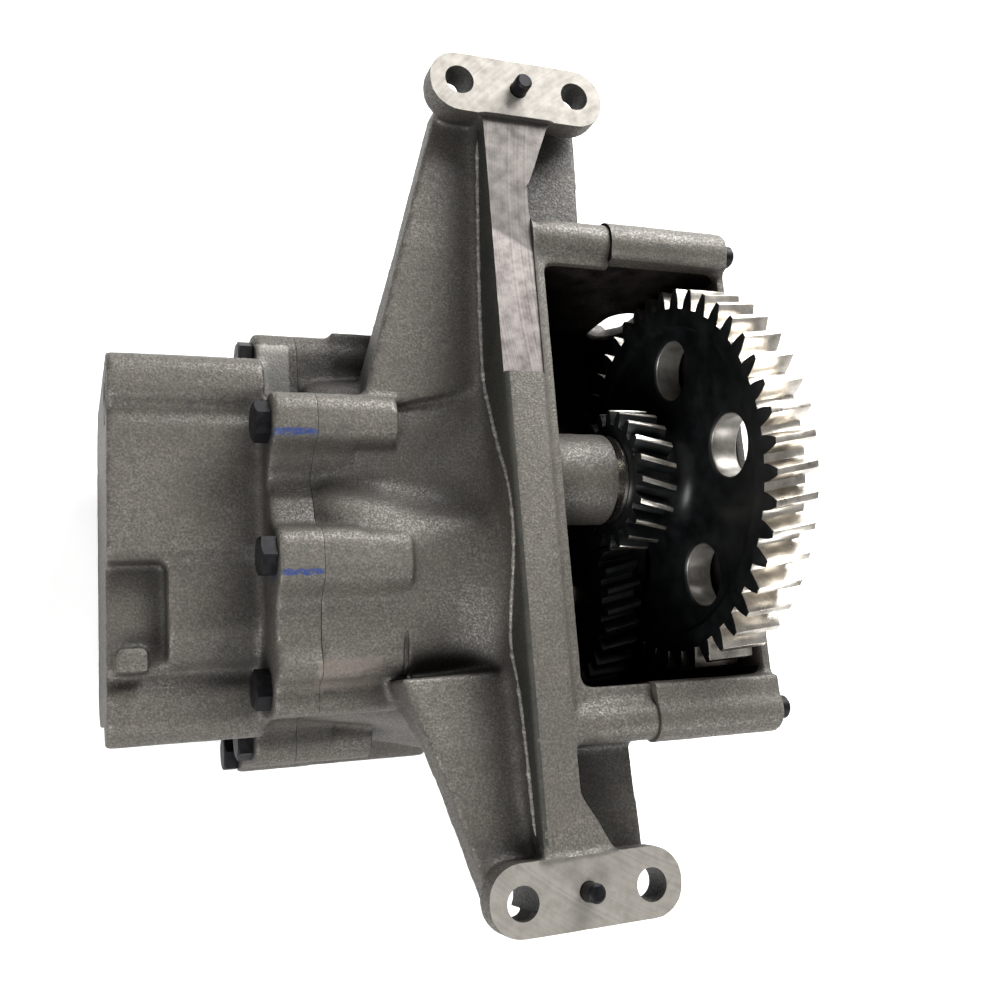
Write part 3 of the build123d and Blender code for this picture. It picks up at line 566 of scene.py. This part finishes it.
iron = cast_iron()
foot_iron = milled_iron("cast_iron_face_milled", "#96928b", "#827d76", (0.10, 0.02, 0.0), 1.3,
                        (0.66, 0.58), metallic=0.5)
strip_iron = milled_iron("cast_iron_ground", "#88827f", "#5f5a58", (0.3, 0.08, 0.0), 0.8, (0.60, 0.46),
                         dull_from=79 * MM)
joint_iron = milled_iron("cast_iron_joint_face", "#a8a399", "#7d776d", (0.0, 0.0, 0.0), 1.1)
# Painted shade: near-black iron for the faces inside the gear box, where shade falls.
box_shade_iron = cast_iron("cast_iron_painted_shade_in_box", ("#030303", "#060606", "#0c0c0b"), False, 0.08)
# Painted shade: dark greenish iron on the plate's side, which faces away from the light.
plate_shade_iron = cast_iron("cast_iron_plate_side_painted_shade", ("#232520", "#2f312c", "#3d3f39"), False)
for mat in (iron, foot_iron, strip_iron, joint_iron, box_shade_iron, plate_shade_iron):
    frame_skin.data.materials.append(mat)
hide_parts("frame_casting")
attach(frame_skin, "frame")

# Where the two mould halves met, a bead of flash is left along the plate's side.
flash_r, flash_step = 0.85 * MM, 0.6
flash_reach = 12 * MM              # how far from the side's plane a spot may lie and still be on it


def smooth_route(points, step):
    """Points every step along a smooth curve through the given ones."""
    p = np.array([points[0], *points, points[-1]], float)
    out = []
    for a, b, c, d in zip(p, p[1:], p[2:], p[3:]):
        for t in np.arange(0.0, 1.0, step / np.hypot(*(c - b))):
            out.append(0.5 * (2 * b + (c - a) * t + (2 * a - 5 * b + 4 * c - d) * t * t
                              + (3 * b - a - 3 * c + d) * t ** 3))
    return np.array(out + [p[-1]])


def flash_bead():
    """The bead, laid on the skin under the flash line, thick and thin as metal squeezed out."""
    skin = surface_of(frame_skin.data)
    hits = [skin.ray_cast(eye, (Vector((side_x, y, z)) - eye).normalized())[0]
            for y, z in smooth_route(flash_line, flash_step) * MM]
    route = np.array([hit for hit in hits if hit is not None and abs(hit.x - side_x) < flash_reach])
    for _ in range(8):
        route[1:-1] = (route[:-2] + 2 * route[1:-1] + route[2:]) / 4
    swell = [0.9 + 0.6 * noise.noise(Vector(p) * 350) + 0.3 * noise.noise(Vector(p) * 1300) for p in route]
    bm = cord(route, lambda k: swell[k] * tapered(flash_r, k, len(route), 8),
              (eye - Vector(route.mean(0))).normalized())
    mesh = mesh_of(bm, "parting_flash")
    shade(mesh, 60)
    return link(bpy.data.objects.new("parting_flash", mesh))


flash = flash_bead()
# Painted highlight: the bead's iron is lighter and less darkened in its corners, for the light caught along
# its ridge.
flash.data.materials.append(
    cast_iron("cast_iron_flash_painted_highlight", ("#6d6b66", "#8f8c86", "#b6b2ab"), False, 0.4, 0.35))
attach(flash, "frame")


# Gear cover
# The other half of the gear box, held to the frame by four long studs in its arms.
# Grey iron, sand cast, milled on the joint.

stud_hole_x, cover_seat_x, cover_fill = 78.0 * MM, 60 * MM, 0.35


def cover_stock(p):
    """Stock on the joint with the frame."""
    return (p[0] - STOCK if p[0] < box_x + NEAR else p[0]), p[1], p[2]


def cover_keep(co):
    """The axle's seat in the cover stays true."""
    return near_line(co, "x", axle, axle_seat_r) * (co[:, 0] > cover_seat_x)


def cover_joint(c, n):
    return (n[:, 0] < -FLAT) & (c[:, 0] < box_x + 2 * JOINT)


plugs = [tube("x", spot, thread_r, box_x - STOCK, stud_hole_x) for spot in cover_studs]
before_joint = brick((0.0, -0.12, -0.14), (box_x + JOINT, 0.12, 0.03))
cover_skin = cut(
    cast_mesh("gear_cover", cover_stock, plugs, cover_keep, lambda co: np.full(len(co), cover_fill)),
    "gear_cover_skin", [before_joint])
# The faces inside the gear box get near-black iron as painted shade.
milled(cover_skin, cover_joint, box_faces_in_shade)
shade(cover_skin.data, casting_smooth)
for mat in (iron, joint_iron, box_shade_iron):
    cover_skin.data.materials.append(mat)
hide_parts("gear_cover")
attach(cover_skin, "frame")


# Pump body
# Holds the two rotors against the flange; nine bolts pass through its lobes.
# Grey iron, sand cast, milled on the joint and on the inlet face below.

inlet, inlet_r, inlet_z = (-101 * MM, -8 * MM), 13 * MM, -106 * MM
bolt_hole_r, bolt_seat_x = 4.6 * MM, -87.0 * MM
rotor_room, rotor_room_r = (-134 * MM, -74 * MM), 24 * MM


def body_stock(p):
    """Stock on the joint with the flange and on the inlet face."""
    x, y, z = p
    return (x + STOCK if x > flange_x - NEAR else x), y, (z - STOCK if z < port_z + NEAR else z)


def body_keep(co):
    """The rotors' room and the bored inlet stay true."""
    rotors = np.maximum(near_line(co, "x", shaft, rotor_room_r), near_line(co, "x", driven, rotor_room_r))
    return np.maximum(near_line(co, "z", inlet, inlet_r) * (co[:, 2] < inlet_z),
                      rotors * (co[:, 0] > rotor_room[0]) * (co[:, 0] < rotor_room[1]))


def body_fill(co):
    """Tight corners in the pocket, wider ones between the lobes."""
    pocket = (co[:, 0] < -112 * MM) & (co[:, 1] > -64 * MM) & (co[:, 1] < -16 * MM)
    tight, wide = 0.12, 0.45
    return np.where(pocket, tight, wide)


def body_joint(c, n):
    return (n[:, 0] > FLAT) & (c[:, 0] > flange_x - 2 * JOINT)


plugs = [tube("x", spot, bolt_hole_r, bolt_seat_x, flange_x + STOCK) for spot in flange_bolts]
past_joint = brick((flange_x - JOINT, -0.12, -0.14), (0.0, 0.12, 0.03))
below_inlet = brick((-0.2, -0.12, -0.15), (-0.05, 0.12, port_z))
body_skin = cut(cast_mesh("pump_body", body_stock, plugs, body_keep, body_fill), "pump_body_skin",
                [past_joint], [below_inlet])
milled(body_skin, body_joint)
shade(body_skin.data, casting_smooth)
for mat in (iron, joint_iron):
    body_skin.data.materials.append(mat)
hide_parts("pump_body")
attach(body_skin, "frame")


# Gears
# The drive wheel and its pinion turn together on the fixed axle; a third gear is keyed to the
# pump shaft. Alloy steel blanks, blackened, their teeth hobbed and shaved bright afterwards.

def gear_steel(name, centre, root_r, holes=(0.0, 0.0)):
    """Blackened gear blank with bright cut teeth: black on its sides, silver on flanks and tips.

    Cut faces are those beyond root_r that don't face along the axle; the walls of the drilled
    holes, between the two radii, are half bright. Tool marks are 0.02 mm, drawn at 0.08 mm.
    """
    mat, tree, surface, place = material(name)
    facing = add(tree, "SeparateXYZ", {0: add(tree, "TexCoord").outputs["Normal"]}).outputs["X"]
    axial = add(tree, "Math", {0: facing}, operation="ABSOLUTE")
    radius = away_from(tree, place, (0.0, *centre), (0.0, 1.0, 1.0))
    drilled = overlap(tree, band(tree, radius, *holes, 0.1 * MM), 0.35)
    teeth = add(tree, "Math", {0: radius, 1: root_r}, operation="GREATER_THAN")
    cut_steel = overlap(tree, add(tree, "Math", {0: teeth, 1: drilled}, operation="MAXIMUM"),
                        add(tree, "Math", {0: axial, 1: 0.62}, operation="LESS_THAN"))
    smear = grain(tree, place, 7.0, 3.0, 0.6)
    scratch = grain(tree, place, 0.5, squeeze=(6.0, 1.0, 1.0))
    black = add(tree, "ValToRGB", {0: smear}, ((0.35, "#121314"), (0.70, "#222425")))
    bright = add(tree, "ValToRGB", {0: blend(tree, scratch, smear, 0.4)},
                 ((0.33, "#938c84"), (0.58, "#e2dcd2")))
    dull = add(tree, "ValToRGB", {0: smear}, ((0.3, 0.32), (0.7, 0.44)))
    fill_in(tree, surface, {
        "Base Color": layered(tree, black, (cut_steel, bright)),
        "Metallic": add(tree, "Math", {0: cut_steel, 1: 0.6, 2: 0.4}, operation="MULTIPLY_ADD"),
        "Roughness": add(tree, "Math", {0: cut_steel, 1: -0.06, 2: dull}, operation="MULTIPLY_ADD"),
        "Normal": add(tree, "Bump", {"Height": scratch, "Distance": 0.02 * MM, "Strength": 0.4})})
    return mat


# Degrees: facets that are one flat face, edges that are broken, and edges that shade smooth.
one_face, gear_edge, gear_smooth = 0.5, 32, 28


def finished(node, mat, edge_mm, body):
    """The node's solid with its edges broken by edge_mm, in its material."""
    bm = welded(node)
    bmesh.ops.dissolve_limit(bm, angle_limit=math.radians(one_face), verts=bm.verts, edges=bm.edges)
    obj = link(bpy.data.objects.new(node + "_finish", mesh_of(bm, node + "_finish")))
    edge = obj.modifiers.new("edge", "BEVEL")
    edge.width, edge.segments, edge.limit_method = edge_mm * MM, 2, "ANGLE"
    edge.angle_limit = math.radians(gear_edge)
    obj.data = applied(obj)
    obj.modifiers.clear()
    obj.data.materials.clear()
    obj.data.materials.append(mat)
    shade(obj.data, gear_smooth)
    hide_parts(node)
    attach(obj, body)


finished("drive_wheel", gear_steel("gear_steel_blackened_wheel", axle, 62.2 * MM, (28 * MM, 53 * MM)), 0.3,
         "wheel")
finished("pinion", gear_steel("gear_steel_blackened_pinion", axle, 25.0 * MM), 0.2, "wheel")
finished("shaft_gear", gear_steel("gear_steel_blackened_shaft_gear", shaft, 40.0 * MM), 0.2, "pump_shaft")


# Fasteners and shafts
# Class 8.8 bolts, studs and nuts and steel pins, blackened and oiled; shafts ground bright,
# rotors hobbed, bushes of turned bronze. The pieces are the CAD solids as they are.

def black_oxide():
    """Blackened, oiled steel: near black with a blue cast and a soft sheen."""
    mat, tree, surface, place = material("steel_black_oxide")
    smear = grain(tree, place, 2.5, 3.0, 0.6)
    oxide = add(tree, "ValToRGB", {0: smear}, ((0.35, "#09090b"), (0.68, "#1a1a1e")))
    fill_in(tree, surface, {
        "Base Color": layered(tree, oxide, (paint_marks(tree, place), "#16295e")), "Metallic": 0.7,
        "Roughness": add(tree, "ValToRGB", {0: smear}, ((0.3, 0.40), (0.7, 0.60))),
        "Normal": add(tree, "Bump", {"Height": grain(tree, place, 0.5), "Distance": 0.03 * MM,
                                     "Strength": 0.5})})
    return mat


def bright_steel(name, light, dark):
    """Ground steel or turned bronze: bright, with fine lines 0.1 mm wide round the axis."""
    mat, tree, surface, place = material(name)
    lines = grain(tree, place, 0.8, squeeze=(8.0, 1.0, 1.0))
    fill_in(tree, surface, {
        "Base Color": add(tree, "ValToRGB", {0: lines}, ((0.35, dark), (0.65, light))), "Metallic": 1.0,
        "Roughness": add(tree, "ValToRGB", {0: lines}, ((0.3, 0.22), (0.7, 0.36))),
        "Normal": add(tree, "Bump", {"Height": lines, "Distance": 0.01 * MM, "Strength": 0.4})})
    return mat


finishes = {"black_steel": black_oxide(),
            "plain_steel": bright_steel("steel_ground", "#c9c7c3", "#9d9a95"),
            "gear_steel": bright_steel("steel_hobbed", "#a5a29d", "#7b7873"),
            "bronze": bright_steel("bronze_turned", "#b98a4e", "#8a6236"),
            "cast_iron": iron}

# The relief spring stands on its plug; it gets a mesh of its own but keeps its CAD shape.
spring = link(bpy.data.objects.new("relief_spring_wound", frame["nodes"]["relief_spring"].data.copy()))
coils = points_of(spring.data)
spring.data.materials.clear()
spring.data.materials.append(finishes["plain_steel"])
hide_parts("relief_spring")
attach(spring, "frame")
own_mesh(spring)

slots = {part["node"]: part["material_slot"] for part in frame["record"]["subparts"]}
for node, obj in frame["nodes"].items():
    if not obj.hide_render:
        obj.data.materials.clear()
        obj.data.materials.append(finishes[slots[node]])


# Studio
# A pale table under one large soft light, a smaller fill and a low light from the gear side.
# The table is matt paper, which shows white and keeps the shadow.

floor_z = cad_box[0][2] - 0.2 * MM


def table_paper():
    """Matt white paper. It shows white to the camera, but throws little light back up."""
    mat, tree, surface, place = material("paper_matt_white")
    paper = add(tree, "ValToRGB", {0: grain(tree, place, 40.0)}, ((0.3, "#f6f6f6"), (0.7, "#ffffff")))
    far = add(tree, "ValToRGB", {0: away_from(tree, place, (0.0, 0.0, 0.0))}, ((0.35, 0.35), (0.90, 1.0)))
    rays = add(tree, "LightPath").outputs
    fill_in(tree, surface, {
        "Base Color": layered(tree, paper, (rays["Is Diffuse Ray"], "#6a6a6a")),
        "Roughness": 0.9, "Specular IOR Level": 0.0, "Emission Color": colour("#ffffff"),
        "Emission Strength": overlap(tree, rays["Is Camera Ray"], far)})
    return mat


bm = bmesh.new()
bmesh.ops.create_grid(bm, x_segments=4, y_segments=4, size=3.0)
table = link(bpy.data.objects.new("table", mesh_of(bm, "table")))
table.location.z = floor_z
table.data.materials.append(table_paper())

world = bpy.data.worlds.new("studio")
bpy.context.scene.world = world
world.use_nodes = True
tree = world.node_tree
rays = add(tree, "LightPath").outputs
height = add(tree, "SeparateXYZ", {0: add(tree, "TexCoord").outputs["Generated"]}).outputs["Z"]
sky = add(tree, "ValToRGB", {0: height}, ((0.0, 0.75), (0.30, 0.36), (1.0, 0.28)))
mirrored = add(tree, "Math", {0: rays["Is Glossy Ray"], 1: rays["Is Transmission Ray"]}, operation="MAXIMUM")
seen = layered(tree, colour("#565656"), (mirrored, sky), (rays["Is Camera Ray"], "#ffffff"))
fill_in(tree, tree.nodes["Background"], {"Color": seen})


def soft_light(name, place, aim, size, watts):
    """A rectangular soft light at a place, turned to the aim."""
    lamp = bpy.data.lights.new(name, "AREA")
    lamp.shape, lamp.size, lamp.size_y, lamp.energy = "RECTANGLE", *size, watts
    obj = link(bpy.data.objects.new(name, lamp))
    obj.location = place
    obj.rotation_euler = (Vector(aim) - Vector(place)).to_track_quat("-Z", "Y").to_euler()


soft_light("softbox", (0.50, 0.85, 0.52), (0.0, 0.0, -0.04), (0.80, 0.60), 29.0)
soft_light("fill", (-0.60, -0.65, 0.55), (0.0, 0.0, -0.05), (0.5, 0.5), 10.0)
soft_light("low_light", (0.55, -0.80, 0.50), (0.03, -0.06, -0.05), (0.4, 0.4), 5.0)


# Camera
# Stands at the eye, where the photograph was taken. Its turn and its lens were solved from sixty
# points of the photograph.

camera = link(bpy.data.objects.new("camera", bpy.data.cameras.new("camera")))
right, up, back = ((0.926975, -0.077283, 0.367076), (0.000421, 0.978762, 0.205001),
                   (-0.375123, -0.189877, 0.907320))
turn = Matrix((right, up, back)).transposed()
camera.matrix_world = Matrix.Translation(eye) @ turn.to_4x4()
camera.data.lens, camera.data.sensor_width = 39.3515, 36.0
camera.data.clip_start = 0.01
bpy.context.scene.camera = camera
bpy.context.scene.view_settings.view_transform = "Standard"
